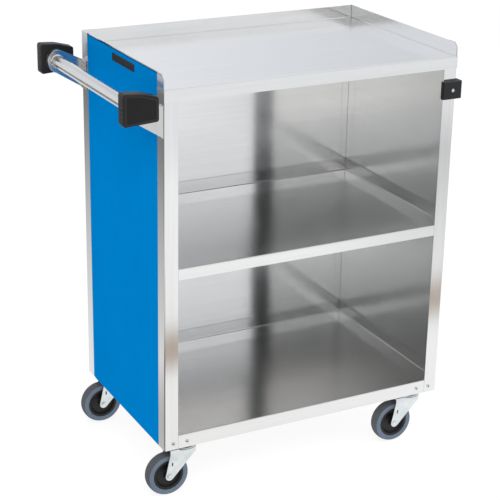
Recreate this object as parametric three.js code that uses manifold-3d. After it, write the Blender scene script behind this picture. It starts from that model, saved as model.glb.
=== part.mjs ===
// Three-tier utility cart: three flanged shelves between four angle legs, closed at both ends and
// at the back, with a push handle at the left end and four swivel casters.
// Millimetres, +Z up. The cart stands on z = 0, its long open front faces -Y and its handle -X.

import * as THREE from "three";
import { mergeVertices } from "three/addons/utils/BufferGeometryUtils.js";
import Module from "manifold-3d";

const wasm = await Module();
wasm.setup();

// Clearances and facets
const fit = 0.3; // between pieces that touch on the real cart
const overrun = 2; // how far a cutting shape reaches past the faces that it opens
const grid = 0.001; // coordinates are rounded to this, so that faces meant to meet do meet
const wheelFacets = 32;
const roundFacets = 20;
const smallFacets = 12;
const cornerFacets = 3; // facets of a rounded corner of an outline

// Body, between the outer faces of the legs
const bodyLength = 640;
const bodyDepth = 406;

// Shelves: the height of each surface above the foot of the legs
const bottomShelfHeight = 29;
const middleShelfHeight = 383;
const topShelfHeight = 737;
const shelfSheet = 1.2;
const rimHeight = 26.5; // upturned ends and back, above the surface
const rimChamfer = 8.5; // front corner of each end rim
const topFascia = 25; // downturned front edges
const middleFascia = 23;

// Legs
const legSheet = 2;
const legFace = 29; // width of the legs' faces on the front and the back
const legSide = 31; // width of the legs' sides on the ends
const legLap = 8; // of the front legs' faces behind the top fascia

// Panels
const linerSheet = 0.9; // bare steel sheets that face the shelves
const colourSheet = 0.8; // coloured sheets that face outwards
const colourTopDrop = 3.5; // from the rim's top down to the coloured sheets
const colourCornerRadius = 8; // rear lower corner of the coloured end sheets
const nameplateLength = 107;
const nameplateHeight = 15;
const nameplateSheet = 0.8;
const nameplateDrop = 7; // from the top of the coloured end sheet down to the plate
const nameplateRear = 163; // from the body's back face to the plate's rear edge

// Handle
const tubeDiameter = 25.4;
const tubeWall = 1.5;
const tubeReach = 61; // from the body's end to the tube's axis
const tubeDrop = 28; // from the top shelf's surface down to the tube's axis
const armSheet = 3;
const armFootTop = 5; // from the tube's axis down to the top of the arm's foot
const armFootBottom = 64;
const armFootWidth = 25; // the part of the arm that lies on the leg's side
const armEndMargin = 0.5; // of the oval flange past the arm's round end
const flangeWidth = 39;
const flangeHeight = 47;
const flangeSheet = 2.6;
const spigotLength = 14; // the plug of the flange inside the tube
const spigotWall = 2;

// Handle bumpers, round the outer ends of the arms
const bumperBehind = 28; // from the tube's axis out to the end of the bumper
const bumperAhead = 42; // from the tube's axis to the edge that faces the body
const bumperOutreach = 22.5; // in front of the body's front face
const bumperCover = 1.5; // how far the bumper's inner face lies behind the arm's outer face
const bumperTopRise = 33.5; // above the tube's axis at the bumper's end
const bumperAheadRise = 22; // above the tube's axis at the edge that faces the body
const bumperCrown = 3.5; // how far the top edge bows up
const bumperBottomDrop = 28.5; // below the tube's axis at the bumper's end
const bumperAheadDrop = 24;
const bumperRadius = 5;
const bumperFrame = 7.5; // width of the raised border round the sunk field
const bumperSink = 1.6;
const ribCount = 3;
const ribRise = 1;
const ribHeightShare = 0.2; // of the bumper's end
const ribDepthShare = 0.55; // of the bumper's width across the cart

// Corner bumpers at the end away from the handle
const guardHeight = 36;
const guardDrop = 49; // from the top shelf's surface down to the guard's top
const guardSheet = 9;
const guardLength = 35; // along the front, from the body's end
const guardDepth = 33; // along the end, from the body's front face
const guardRadius = 3.5;
const guardScrewInset = 12.5; // from the body's end to the screw
const guardScrewDiameter = 4;
const guardScrewHead = 7.5;
const guardScrewHeadHeight = 2.4;

// Casters
const tyreDiameter = 88.9;
const tyreWidth = 25;
const tyreShoulder = 4; // rounding between tread and sides
const coreDiameter = 70;
const coreWidth = 22;
const coreRim = 6; // radial thickness of the core's rim
const coreWeb = 9;
const hubDiameter = 19;
const hubWidth = 28;
const axleDiameter = 8;
const axleHeadDiameter = 11;
const axleHeadHeight = 1.8;
const nutAcross = 13;
const nutHeight = 5;
const trail = 38.5; // from the kingpin's axis back to the axle
const forkSheet = 2.6;
const forkGap = 30; // between the fork's side plates
const forkTipRadius = 9;
const forkHeel = 37; // from the kingpin's axis back to the crown's rear edge
const forkToe = 19; // from the kingpin's axis forward to the side plates' front edges
const forkSkirt = 10; // height of the side plates at their front edges
const forkSlotWidth = 2.6;
const forkSlotHeight = 8;
const forkSlotDrop = 31; // from the crown's top down to the slot's middle
const forkSlotInset = 3; // from the crown's rear edge forward to the slot
const crownGap = 10; // between the tyre and the crown
const raceDiameter = 51;
const raceNeckDiameter = 38;
const raceLip = 3; // height of the race's wide lower edge
const raceHeight = 9.6;
const swivelPlateSheet = 2.5;
const swivelPlateLength = 66;
const swivelPlateDepth = 50;
const kingpinDiameter = 12;
const kingpinHead = 18;
const kingpinHeadHeight = 4;
const casterInsetX = 54; // from the body's end to the kingpin's axis
const casterInsetY = 28.5; // from the body's front or back face to the kingpin's axis
const bracketSheet = 2.5;
const bracketLength = 98;
const bracketDepth = 62;
const bracketFlange = 20;
const plateAboveFoot = 5; // from the foot of the legs up to the top of the caster's plate

// Heights that follow from the casters' stack, above the floor
const axleZ = tyreDiameter / 2;
const crownTop = tyreDiameter + crownGap + forkSheet;
const raceBottom = crownTop + fit;
const swivelPlateBottom = raceBottom + raceHeight;
const swivelPlateTop = swivelPlateBottom + swivelPlateSheet;
const footZ = swivelPlateTop - plateAboveFoot;
const bottomShelfZ = footZ + bottomShelfHeight;
const middleShelfZ = footZ + middleShelfHeight;
const topShelfZ = footZ + topShelfHeight;

// Places that the layers of sheet share, measured inwards from the body's faces
const frontFlangeOuter = shelfSheet + fit; // the legs' front faces lie behind the top fascia
const frontFlangeInner = frontFlangeOuter + legSheet;
const trayEnd = legSheet + fit;
const backLinerOuter = legSheet + fit;
const backLinerInner = backLinerOuter + linerSheet;
const lowerTrayBack = backLinerInner + fit;
const tubeZ = topShelfZ - tubeDrop;
const rimTop = topShelfZ + rimHeight;
const colourTop = rimTop - colourTopDrop;

// Finishes
const finish = (color, roughness, metalness) => () =>
  new THREE.MeshStandardMaterial({ color, roughness, metalness });
const brushedSteel = finish(0xc6c9cb, 0.36, 1);
const blueSheet = finish(0x0079c5, 0.5, 0);
const blackRubber = finish(0x232528, 0.7, 0);
const blackPlate = finish(0x16171a, 0.4, 0);
const blackNylon = finish(0x1b1a1d, 0.55, 0);
const greyRubber = finish(0x70809a, 0.75, 0);
const zincPlate = finish(0xd4dbdd, 0.3, 1);

// A closed geometry as a solid for joining and cutting
function solidOf(geometry) {
  const bare = geometry.clone();
  bare.deleteAttribute("normal");
  bare.deleteAttribute("uv");
  const positions = bare.getAttribute("position").array;
  positions.forEach((value, i) => (positions[i] = Math.round(value / grid) * grid));
  const merged = mergeVertices(bare);
  const vertProperties = merged.getAttribute("position").array;
  const triVerts = new Uint32Array(merged.index.array);
  return new wasm.Manifold(new wasm.Mesh({ numProp: 3, vertProperties, triVerts }));
}

function geometryOf(solid) {
  const { vertProperties, triVerts } = solid.getMesh();
  const geometry = new THREE.BufferGeometry();
  geometry.setAttribute("position", new THREE.BufferAttribute(vertProperties, 3));
  geometry.setIndex(new THREE.BufferAttribute(triVerts, 1));
  geometry.computeVertexNormals();
  return geometry;
}

function joined(geometries) {
  return geometryOf(geometries.map(solidOf).reduce((whole, next) => whole.add(next)));
}

function cutBy(geometry, tools) {
  return geometryOf(tools.map(solidOf).reduce((rest, tool) => rest.subtract(tool), solidOf(geometry)));
}

// A box between two limits along each axis
function block([x0, x1], [y0, y1], [z0, z1]) {
  const geometry = new THREE.BoxGeometry(x1 - x0, y1 - y0, z1 - z0);
  return geometry.translate((x0 + x1) / 2, (y0 + y1) / 2, (z0 + z1) / 2);
}

// The outline through the given points, each corner rounded by its own third value
function outline(points) {
  const shape = new THREE.Shape();
  points.forEach(([u, v, radius = 0], i) => {
    const corner = new THREE.Vector2(u, v);
    const before = new THREE.Vector2(...points.at(i - 1).slice(0, 2)).sub(corner);
    const after = new THREE.Vector2(...points[(i + 1) % points.length].slice(0, 2)).sub(corner);
    const reach = Math.min(radius, before.length() / 2, after.length() / 2);
    const start = corner.clone().addScaledVector(before.normalize(), reach);
    const end = corner.clone().addScaledVector(after.normalize(), reach);
    if (i === 0) shape.moveTo(start.x, start.y);
    else shape.lineTo(start.x, start.y);
    if (reach > 0) shape.quadraticCurveTo(corner.x, corner.y, end.x, end.y);
  });
  shape.closePath();
  return shape;
}

const axisX = new THREE.Vector3(1, 0, 0);
const axisY = new THREE.Vector3(0, 1, 0);
const axisZ = new THREE.Vector3(0, 0, 1);

function extruded(shape, depth) {
  return new THREE.ExtrudeGeometry(shape, { depth, bevelEnabled: false, curveSegments: cornerFacets });
}

// Outlines drawn in X and Z, in Y and Z, and in X and Y, given a thickness between two limits
function plateAcrossY(shape, [y0, y1]) {
  const basis = new THREE.Matrix4().makeBasis(axisX, axisZ, axisY.clone().negate());
  return extruded(shape, y1 - y0).applyMatrix4(basis).translate(0, y1, 0);
}

function plateAcrossX(shape, [x0, x1]) {
  const basis = new THREE.Matrix4().makeBasis(axisY, axisZ, axisX);
  return extruded(shape, x1 - x0).applyMatrix4(basis).translate(x0, 0, 0);
}

function plateAcrossZ(shape, [z0, z1]) {
  return extruded(shape, z1 - z0).translate(0, 0, z0);
}

// Round pieces from a profile of radius and height, about Y or about Z
function turnedAboutY(profile, facets) {
  return new THREE.LatheGeometry(profile.map(([r, h]) => new THREE.Vector2(r, h)), facets);
}

function turnedAboutZ(profile, facets) {
  return turnedAboutY(profile, facets).rotateX(Math.PI / 2);
}

function pinAboutY([x, z], radius, [y0, y1], facets) {
  return turnedAboutY([[0, y0], [radius, y0], [radius, y1], [0, y1]], facets).translate(x, 0, z);
}

function pinAboutZ([x, y], radius, [z0, z1], facets) {
  return turnedAboutZ([[0, z0], [radius, z0], [radius, z1], [0, z1]], facets).translate(x, y, 0);
}

function piece(name, geometry, material) {
  const mesh = new THREE.Mesh(geometry, material());
  mesh.name = name;
  return mesh;
}

// An end rim of a shelf, from its front edge to the back, with its front top corner cut off
function endRim([x0, x1], front, back, surface) {
  const top = surface + rimHeight;
  const shape = outline([
    [front, surface - shelfSheet],
    [back, surface - shelfSheet],
    [back, top],
    [front + rimChamfer, top],
    [front, top - rimChamfer],
  ]);
  return plateAcrossX(shape, [x0, x1]);
}

// A shelf's sheet with both end rims and the back rim
function tray(front, back, surface) {
  const left = trayEnd;
  const right = bodyLength - trayEnd;
  return [
    block([left, right], [front, back], [surface - shelfSheet, surface]),
    block([left, right], [back - shelfSheet, back], [surface - shelfSheet, surface + rimHeight]),
    endRim([left, left + shelfSheet], front, back, surface),
    endRim([right - shelfSheet, right], front, back, surface),
  ];
}

// The top shelf's sheet in three flat strips, with a hairline at its front and back folds. This is
// the middle one, with both end rims.
function topShelf() {
  const back = bodyDepth - backLinerOuter - shelfSheet - fit;
  const [left, right] = [trayEnd, bodyLength - trayEnd];
  return joined([
    block([left, right], [shelfSheet + fit, back], [topShelfZ - shelfSheet, topShelfZ]),
    endRim([left, left + shelfSheet], shelfSheet + fit, back, topShelfZ),
    endRim([right - shelfSheet, right], shelfSheet + fit, back, topShelfZ),
  ]);
}

// The top shelf's fascia runs over the legs from end to end
function topShelfFascia() {
  return block([0, bodyLength], [0, shelfSheet], [topShelfZ - topFascia, topShelfZ]);
}

function topShelfBackRim() {
  const back = bodyDepth - backLinerOuter;
  const height = [topShelfZ - shelfSheet, topShelfZ + rimHeight];
  return block([trayEnd, bodyLength - trayEnd], [back - shelfSheet, back], height);
}

// The lower shelves lie behind the front legs, and their fascias fill the width between them
function lowerShelf(surface, fasciaHeight) {
  const between = [legFace + fit, bodyLength - legFace - fit];
  const front = frontFlangeInner + fit;
  const tongue = block(between, [frontFlangeOuter, front + overrun], [surface - shelfSheet, surface]);
  const fasciaDepth = [frontFlangeOuter, frontFlangeOuter + shelfSheet];
  const fascia = block(between, fasciaDepth, [surface - fasciaHeight, surface]);
  return joined([...tray(front, bodyDepth - lowerTrayBack, surface), tongue, fascia]);
}

// An angle leg at the left, its face at the given inset behind the body's front or back face. Its
// side rises along the end rim, and its face stops under the top shelf where that shelf covers it.
function leg(inset, faceTop) {
  const side = outline([
    [inset, footZ],
    [legSide, footZ],
    [legSide, rimTop],
    [inset + rimChamfer, rimTop],
    [inset, rimTop - rimChamfer],
  ]);
  const face = block([0, legFace], [inset, inset + legSheet], [footZ, faceTop]);
  return joined([plateAcrossX(side, [0, legSheet]), face]);
}

// The bores for a corner bumper's screw, in the face of a leg
function guardBore(inset) {
  const centre = [guardScrewInset, topShelfZ - guardDrop - guardHeight / 2];
  const depth = [inset - overrun, inset + legSheet + overrun];
  return pinAboutY(centre, guardScrewDiameter / 2 + fit, depth, smallFacets);
}

function endLiner() {
  const depth = [legSide + fit, bodyDepth - legSide - fit];
  const outer = colourSheet + fit;
  return block([outer, outer + linerSheet], depth, [footZ, topShelfZ - shelfSheet - fit]);
}

function backLiner() {
  const inner = bodyDepth - backLinerInner;
  const height = [footZ, topShelfZ - shelfSheet - fit];
  return block([trayEnd, bodyLength - trayEnd], [inner, inner + linerSheet], height);
}

// The coloured end sheet fills the space between the legs' sides and covers the rim
function colouredEnd() {
  const front = legSide + fit;
  const back = bodyDepth - legSide - fit;
  const shape = outline([
    [front, footZ],
    [back, footZ, colourCornerRadius],
    [back, colourTop],
    [front, colourTop],
  ]);
  return plateAcrossX(shape, [0, colourSheet]);
}

function colouredBack() {
  const inner = bodyDepth - legSheet;
  const length = [legFace + fit, bodyLength - legFace - fit];
  return block(length, [inner, inner + colourSheet], [footZ, colourTop]);
}

function nameplate() {
  const rear = bodyDepth - nameplateRear;
  const top = colourTop - nameplateDrop;
  const thickness = [-fit - nameplateSheet, -fit];
  return block(thickness, [rear - nameplateLength, rear], [top - nameplateHeight, top]);
}

// Places across the handle's end, measured inwards from the body's front face
const armOuter = frontFlangeOuter;
const armInner = armOuter + armSheet;
const flangeOuter = armInner + fit;
const flangeInner = flangeOuter + flangeSheet;
const tubeEnd = flangeInner + fit;

function handleTube() {
  const outer = tubeDiameter / 2;
  const inner = outer - tubeWall;
  const near = tubeEnd;
  const far = bodyDepth - tubeEnd;
  const profile = [[inner, near], [outer, near], [outer, far], [inner, far], [inner, near]];
  return turnedAboutY(profile, roundFacets).translate(-tubeReach, 0, tubeZ);
}

// An oval plate on the arm's inner side, with a hollow plug that reaches into the tube
function handleFlange() {
  const plug = tubeDiameter / 2 - tubeWall - fit;
  const bore = plug - spigotWall;
  const plugEnd = flangeInner + spigotLength;
  const profile = [
    [0, flangeOuter],
    [plug, flangeOuter],
    [plug, plugEnd],
    [bore, plugEnd],
    [bore, flangeInner],
    [0, flangeInner],
  ];
  const spigot = turnedAboutY(profile, roundFacets).translate(-tubeReach, 0, tubeZ);
  const oval = new THREE.Shape();
  oval.absellipse(-tubeReach, tubeZ, flangeWidth / 2, flangeHeight / 2, 0, 2 * Math.PI, false);
  const plate = new THREE.ExtrudeGeometry(oval, {
    depth: flangeSheet,
    bevelEnabled: false,
    curveSegments: roundFacets,
  });
  const basis = new THREE.Matrix4().makeBasis(axisX, axisZ, axisY.clone().negate());
  return joined([plate.applyMatrix4(basis).translate(0, flangeInner, 0), spigot]);
}

// The angle round an oval of the given half sizes at which a line from a point outside touches it.
// The point is measured from the oval's centre, and the side is 1 or -1.
function touchAngle([u, v], [halfU, halfV], side) {
  const away = Math.atan2(v / halfV, u / halfU);
  return away + side * Math.acos(1 / Math.hypot(u / halfU, v / halfV));
}

// The arm's outline: from its foot on the leg it rises and narrows to a round end behind the
// flange. A margin widens it.
function armOutline(margin) {
  const halves = [
    flangeWidth / 2 - armEndMargin + margin,
    flangeHeight / 2 - armEndMargin + margin,
  ];
  const foot = tubeReach - fit;
  const footTop = margin - armFootTop;
  const footBottom = -margin - armFootBottom;
  const upper = touchAngle([foot, footTop], halves, 1);
  const lower = touchAngle([foot, footBottom], halves, -1) + 2 * Math.PI;
  const shape = new THREE.Shape();
  shape.moveTo(-fit, tubeZ + footBottom);
  shape.lineTo(-fit, tubeZ + footTop);
  shape.absellipse(-tubeReach, tubeZ, ...halves, upper, lower, false);
  shape.closePath();
  return shape;
}

// The arm, with a foot bent back along the leg's side
function handleArm() {
  const plate = plateAcrossY(armOutline(0), [armOuter, armInner]);
  const footDepth = [armOuter, armOuter + armFootWidth];
  const height = [tubeZ - armFootBottom, tubeZ - armFootTop];
  return joined([plate, block([-fit - armSheet, -fit], footDepth, height)]);
}

// The bumper's outline, drawn in by a margin
function bumperOutline(margin) {
  const end = -tubeReach - bumperBehind + margin;
  const ahead = -tubeReach + bumperAhead - margin;
  const radius = Math.max(bumperRadius - margin / 2, bumperRadius / 2);
  const endTop = tubeZ + bumperTopRise - margin;
  const aheadTop = tubeZ + bumperAheadRise - margin;
  const bow = bumperBehind + bumperAhead;
  return outline([
    [end, tubeZ - bumperBottomDrop + margin, radius],
    [ahead, tubeZ - bumperAheadDrop + margin, radius],
    [ahead, aheadTop, radius],
    [(end + ahead) / 2, (endTop + aheadTop) / 2 + bumperCrown, bow],
    [end, endTop, radius],
  ]);
}

// Ribs across the end of a bumper
function bumperRibs(depth) {
  const height = bumperTopRise + bumperBottomDrop;
  const width = depth[1] - depth[0];
  const margin = (width * (1 - ribDepthShare)) / 2;
  const end = -tubeReach - bumperBehind;
  const pitch = (height - 2 * bumperRadius) / ribCount;
  const halfRib = (height * ribHeightShare) / 2;
  return Array.from({ length: ribCount }, (_, i) => {
    const middle = tubeZ - bumperBottomDrop + bumperRadius + (i + 1 / 2) * pitch;
    const across = [depth[0] + margin, depth[1] - margin];
    return block([end - ribRise, end + bumperRadius], across, [middle - halfRib, middle + halfRib]);
  });
}

// A moulded block with a sunk field in its outer face and a pocket that takes the arm's end
function handleBumper() {
  const depth = [-bumperOutreach, armOuter + bumperCover];
  const body = joined([plateAcrossY(bumperOutline(0), depth), ...bumperRibs(depth)]);
  const field = plateAcrossY(bumperOutline(bumperFrame), [depth[0] - overrun, depth[0] + bumperSink]);
  const pocket = plateAcrossY(armOutline(fit), [armOuter - fit, depth[1] + overrun]);
  return cutBy(body, [field, pocket]);
}

// A corner bumper at the left end, which its group turns to the other end
function cornerBumper(inset) {
  const shape = outline([
    [guardLength, -guardSheet, guardRadius],
    [guardLength, inset - fit],
    [-fit, inset - fit],
    [-fit, guardDepth],
    [-guardSheet, guardDepth, guardRadius],
    [-guardSheet, -guardSheet, guardRadius],
  ].reverse());
  const top = topShelfZ - guardDrop;
  const middle = top - guardHeight / 2;
  const body = plateAcrossZ(shape, [top - guardHeight, top]);
  const centre = [guardScrewInset, middle];
  const bore = pinAboutY(centre, guardScrewDiameter / 2 + fit, [-guardSheet - overrun, inset], smallFacets);
  const seat = [-guardSheet - overrun, -guardSheet + guardScrewHeadHeight / 2];
  const sink = pinAboutY(centre, guardScrewHead / 2 + fit, seat, smallFacets);
  return cutBy(body, [bore, sink]);
}

// The screw's head lies half sunk in the bumper and its shank ends level with the leg's inner face
function cornerBumperScrew(inset) {
  const under = -guardSheet + guardScrewHeadHeight / 2 - fit;
  const end = inset + legSheet;
  const head = guardScrewHead / 2;
  const shank = guardScrewDiameter / 2;
  const profile = [
    [0, under - guardScrewHeadHeight],
    [head / 2, under - guardScrewHeadHeight],
    [head, under - guardScrewHeadHeight / 2],
    [head, under],
    [shank, under],
    [shank, end],
    [0, end],
  ];
  const middle = topShelfZ - guardDrop - guardHeight / 2;
  return turnedAboutY(profile, smallFacets).translate(guardScrewInset, 0, middle);
}

// A folded bracket under the bottom shelf that carries a caster, its flange at the given depth
function casterBracket(front) {
  const start = trayEnd;
  const bottom = swivelPlateTop + fit;
  const length = [start, start + bracketLength];
  const shelfPlate = block(length, [front, front + bracketDepth], [bottom, bottom + bracketSheet]);
  const flange = block(length, [front, front + bracketSheet], [bottom, bottom + bracketFlange]);
  return joined([shelfPlate, flange]);
}

// The pieces of a caster stand about the kingpin's axis, and the wheel trails towards -X

function swivelPlate() {
  const halfLength = swivelPlateLength / 2;
  const halfDepth = swivelPlateDepth / 2;
  const height = [swivelPlateBottom, swivelPlateTop];
  const plate = block([-halfLength, halfLength], [-halfDepth, halfDepth], height);
  const lip = raceDiameter / 2;
  const neck = raceNeckDiameter / 2;
  const race = turnedAboutZ([
    [0, raceBottom],
    [lip, raceBottom],
    [lip, raceBottom + raceLip],
    [neck, swivelPlateBottom - fit],
    [neck, swivelPlateTop - swivelPlateSheet / 2],
    [0, swivelPlateTop - swivelPlateSheet / 2],
  ], roundFacets);
  const depth = [raceBottom - overrun, swivelPlateTop + overrun];
  const bore = pinAboutZ([0, 0], kingpinDiameter / 2 + fit, depth, roundFacets);
  return cutBy(joined([plate, race]), [bore]);
}

function kingpin() {
  const crownBottom = crownTop - forkSheet;
  const head = kingpinHead / 2;
  const shank = kingpinDiameter / 2;
  const profile = [
    [0, crownBottom - fit - kingpinHeadHeight],
    [head - kingpinHeadHeight / 2, crownBottom - fit - kingpinHeadHeight],
    [head, crownBottom - fit - kingpinHeadHeight / 2],
    [head, crownBottom - fit],
    [shank, crownBottom - fit],
    [shank, swivelPlateTop - fit],
    [0, swivelPlateTop - fit],
  ];
  return turnedAboutZ(profile, roundFacets);
}

// A side plate of the fork tapers from the crown to a round tip about the axle
function forkSide() {
  const halves = [forkTipRadius, forkTipRadius];
  const skirtZ = crownTop - forkSkirt;
  const arrive = touchAngle([trail - forkHeel, skirtZ - axleZ], halves, 1);
  const leave = touchAngle([trail + forkToe, skirtZ - axleZ], halves, -1) + 2 * Math.PI;
  const shape = new THREE.Shape();
  shape.moveTo(-forkHeel, crownTop);
  shape.lineTo(-forkHeel, skirtZ);
  shape.absarc(-trail, axleZ, forkTipRadius, arrive, leave, false);
  shape.lineTo(forkToe, skirtZ);
  shape.lineTo(forkToe, crownTop);
  shape.closePath();
  return shape;
}

// A folded fork: a round crown over two side plates that taper to the axle
function fork() {
  const inner = forkGap / 2;
  const outer = inner + forkSheet;
  const crownBottom = crownTop - forkSheet;
  const sides = [plateAcrossY(forkSide(), [-outer, -inner]), plateAcrossY(forkSide(), [inner, outer])];
  const top = block([-forkHeel, forkToe], [-outer, outer], [crownBottom, crownTop]);
  const round = pinAboutZ([0, 0], raceDiameter / 2, [crownBottom, crownTop], roundFacets);
  const through = [-outer - overrun, outer + overrun];
  const axleBore = pinAboutY([-trail, axleZ], axleDiameter / 2 + fit, through, smallFacets);
  const pinDepth = [crownBottom - overrun, crownTop + overrun];
  const pinBore = pinAboutZ([0, 0], kingpinDiameter / 2 + fit, pinDepth, roundFacets);
  const slotX = -forkHeel + forkSlotInset;
  const slotZ = crownTop - forkSlotDrop;
  const slotSpan = [slotZ - forkSlotHeight / 2, slotZ + forkSlotHeight / 2];
  const slot = block([slotX, slotX + forkSlotWidth], through, slotSpan);
  return cutBy(joined([...sides, top, round]), [axleBore, pinBore, slot]);
}

// The axle's head lies on the fork's front side plate and its end carries the nut
function axleBolt() {
  const outer = forkGap / 2 + forkSheet + fit;
  const head = axleHeadDiameter / 2;
  const shank = axleDiameter / 2;
  const end = outer + nutHeight;
  const profile = [
    [0, -outer - axleHeadHeight],
    [head - axleHeadHeight / 2, -outer - axleHeadHeight],
    [head, -outer - axleHeadHeight / 2],
    [head, -outer],
    [shank, -outer],
    [shank, end],
    [0, end],
  ];
  return turnedAboutY(profile, smallFacets).translate(-trail, 0, axleZ);
}

function axleNut() {
  const near = forkGap / 2 + forkSheet + fit;
  const sides = 6;
  const cornerRadius = nutAcross / Math.sqrt(3);
  const hexagon = Array.from({ length: sides }, (_, i) => {
    const angle = (2 * Math.PI * i) / sides;
    return [-trail + cornerRadius * Math.cos(angle), axleZ + cornerRadius * Math.sin(angle)];
  });
  const body = plateAcrossY(outline(hexagon), [near, near + nutHeight]);
  const depth = [near - overrun, near + nutHeight + overrun];
  return cutBy(body, [pinAboutY([-trail, axleZ], axleDiameter / 2 + fit, depth, smallFacets)]);
}

// The core's section: a hub about the axle, a thin web and a rim that carries the tyre
function wheelCore() {
  const bore = axleDiameter / 2 + fit;
  const hub = hubDiameter / 2;
  const rim = coreDiameter / 2;
  const rimInner = rim - coreRim;
  const hubHalf = hubWidth / 2;
  const webHalf = coreWeb / 2;
  const rimHalf = coreWidth / 2;
  const half = [
    [bore, hubHalf],
    [hub, hubHalf],
    [hub, webHalf],
    [rimInner, webHalf],
    [rimInner, rimHalf],
    [rim, rimHalf],
  ];
  const mirror = half.map(([r, h]) => [r, -h]);
  const section = [...mirror, ...half.toReversed(), mirror[0]];
  return turnedAboutY(section, wheelFacets).translate(-trail, 0, axleZ);
}

// The tyre's section, with its shoulders rounded as quarter circles
function tyre() {
  const inner = coreDiameter / 2 + fit;
  const outer = tyreDiameter / 2;
  const half = tyreWidth / 2;
  const shoulder = Array.from({ length: cornerFacets + 1 }, (_, i) => {
    const angle = (Math.PI / 2) * (i / cornerFacets);
    const fall = tyreShoulder * (1 - Math.sin(angle));
    return [outer - fall, half - tyreShoulder * (1 - Math.cos(angle))];
  });
  const side = [[inner, half], ...shoulder];
  const mirror = side.map(([r, h]) => [r, -h]);
  const section = [...mirror, ...side.toReversed(), mirror[0]];
  return turnedAboutY(section, wheelFacets).translate(-trail, 0, axleZ);
}

// A group in which a piece drawn for the front left corner lies at another corner
function atCorner(right, rear) {
  const group = new THREE.Group();
  group.position.set(right ? bodyLength : 0, rear ? bodyDepth : 0, 0);
  group.scale.set(right ? -1 : 1, rear ? -1 : 1, 1);
  return group;
}

function cornerPieces(name, right, rear) {
  const inset = rear ? 0 : frontFlangeOuter;
  const group = atCorner(right, rear);
  const legShape = leg(inset, rear ? rimTop : topShelfZ - topFascia + legLap);
  const bored = right ? cutBy(legShape, [guardBore(inset)]) : legShape;
  group.add(piece(`${name}_leg`, bored, brushedSteel));
  const flangeDepth = rear ? lowerTrayBack : frontFlangeInner + fit;
  group.add(piece(`${name}_caster_bracket`, casterBracket(flangeDepth), zincPlate));
  return group;
}

function caster(name, right, rear) {
  const group = new THREE.Group();
  const x = right ? bodyLength - casterInsetX : casterInsetX;
  group.position.set(x, rear ? bodyDepth - casterInsetY : casterInsetY, 0);
  group.add(piece(`${name}_swivel_plate`, swivelPlate(), zincPlate));
  group.add(piece(`${name}_kingpin`, kingpin(), zincPlate));
  group.add(piece(`${name}_fork`, fork(), zincPlate));
  group.add(piece(`${name}_axle_bolt`, axleBolt(), zincPlate));
  group.add(piece(`${name}_axle_nut`, axleNut(), zincPlate));
  group.add(piece(`${name}_wheel_core`, wheelCore(), blackNylon));
  group.add(piece(`${name}_tyre`, tyre(), greyRubber));
  return group;
}

function handlePieces(name, rear) {
  const group = atCorner(false, rear);
  group.add(piece(`${name}_handle_arm`, handleArm(), brushedSteel));
  group.add(piece(`${name}_handle_flange`, handleFlange(), brushedSteel));
  group.add(piece(`${name}_handle_bumper`, handleBumper(), blackRubber));
  return group;
}

function guardPieces(name, rear) {
  const group = atCorner(true, rear);
  const inset = rear ? 0 : frontFlangeOuter;
  group.add(piece(`${name}_corner_bumper`, cornerBumper(inset), blackRubber));
  group.add(piece(`${name}_corner_bumper_screw`, cornerBumperScrew(inset), zincPlate));
  return group;
}

function endPanels(name, right) {
  const group = atCorner(right, false);
  group.add(piece(`${name}_end_panel`, endLiner(), brushedSteel));
  group.add(piece(`${name}_colour_panel`, colouredEnd(), blueSheet));
  return group;
}

// The cart, with its origin on the floor under the middle of its whole outline
const cart = new THREE.Group();
const leftmost = -tubeReach - bumperBehind - ribRise;
const rightmost = bodyLength + guardSheet;
cart.position.set(-(leftmost + rightmost) / 2, -bodyDepth / 2, 0);

cart.add(piece("top_shelf", topShelf(), brushedSteel));
cart.add(piece("top_shelf_fascia", topShelfFascia(), brushedSteel));
cart.add(piece("top_shelf_back_rim", topShelfBackRim(), brushedSteel));
cart.add(piece("middle_shelf", lowerShelf(middleShelfZ, middleFascia), brushedSteel));
cart.add(piece("bottom_shelf", lowerShelf(bottomShelfZ, bottomShelfHeight), brushedSteel));
cart.add(piece("back_panel", backLiner(), brushedSteel));
cart.add(piece("back_colour_panel", colouredBack(), blueSheet));
cart.add(piece("nameplate", nameplate(), blackPlate));
cart.add(piece("handle_tube", handleTube(), brushedSteel));
cart.add(endPanels("left", false), endPanels("right", true));

for (const [side, rear] of [["front", false], ["rear", true]]) {
  cart.add(handlePieces(side, rear), guardPieces(side, rear));
  for (const [end, right] of [["left", false], ["right", true]]) {
    const name = `${side}_${end}`;
    cart.add(cornerPieces(name, right, rear), caster(name, right, rear));
  }
}

export default cart;
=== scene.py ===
"""Three-tier utility cart: the finish of every piece, the detailed pieces that stand for the plain
solids, and the studio and camera. Metres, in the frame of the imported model: +Z up, the open front
towards -Y, the push handle at -X."""
import math
import bmesh
import bpy
from mathutils import Matrix, Vector


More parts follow.
